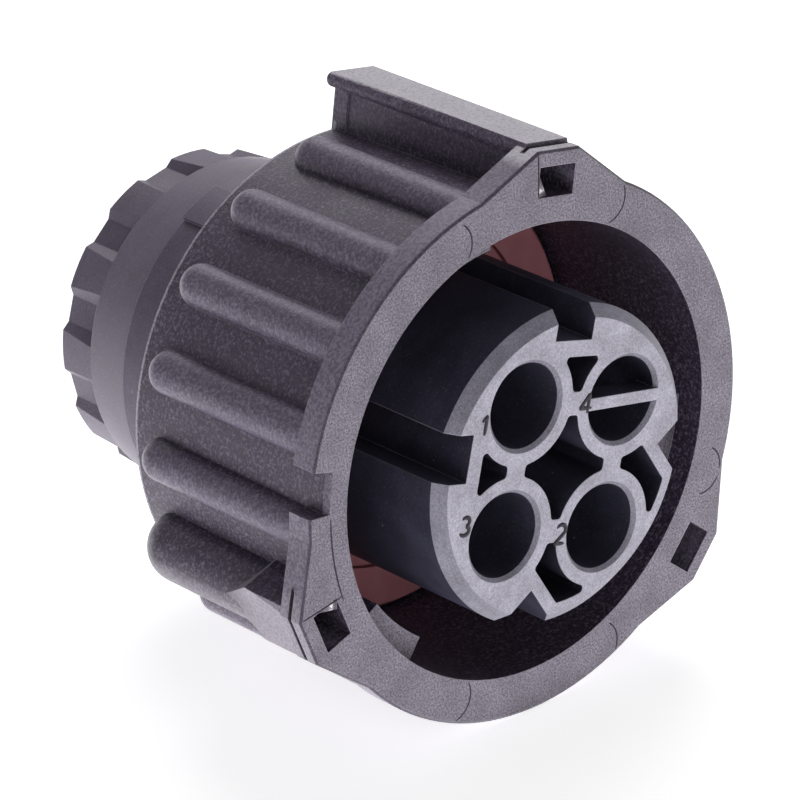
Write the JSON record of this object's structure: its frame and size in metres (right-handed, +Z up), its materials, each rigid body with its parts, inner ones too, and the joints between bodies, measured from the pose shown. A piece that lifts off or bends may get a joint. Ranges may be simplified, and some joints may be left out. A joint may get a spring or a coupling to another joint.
{
  "type": "din socket",
  "caption": "Round bayonet connector housing with a ribbed coupling ring, a keyed nose with contact cavities, a ring seal and a toothed rear collar.",
  "frame": {"origin": "on the connector's axis, in the front plane of the coupling ring, about the nose", "axes": "+Y along the axis towards the cable, so the mating face looks to -Y; +Z up with the connector lying on its ring"},
  "size_m": [0.0333, 0.0328, 0.034],
  "materials": {
    "housing_plastic": "fine moulded texture",
    "ring_plastic": "fine moulded texture",
    "seal_silicone": "smooth matt silicone",
    "lock_plastic": "smooth moulded plastic"
  },
  "bodies": {
    "housing": {"contact_housing": "housing_plastic", "interface_seal": "seal_silicone"},
    "ring": {"coupling_ring": "ring_plastic"},
    "lock": {"secondary_lock": "lock_plastic"}
  },
  "joints": [
    {"name": "ring_turn", "type": "hinge", "parent": "housing", "child": "ring", "pos_m": [0, 0, 0], "axis": [0, -1, 0], "range_deg": [0, 60]},
    {"name": "lock_slide", "type": "slide", "parent": "housing", "child": "lock", "axis": [0, -1, 0], "range_m": [0, 0.0018]}
  ]
}
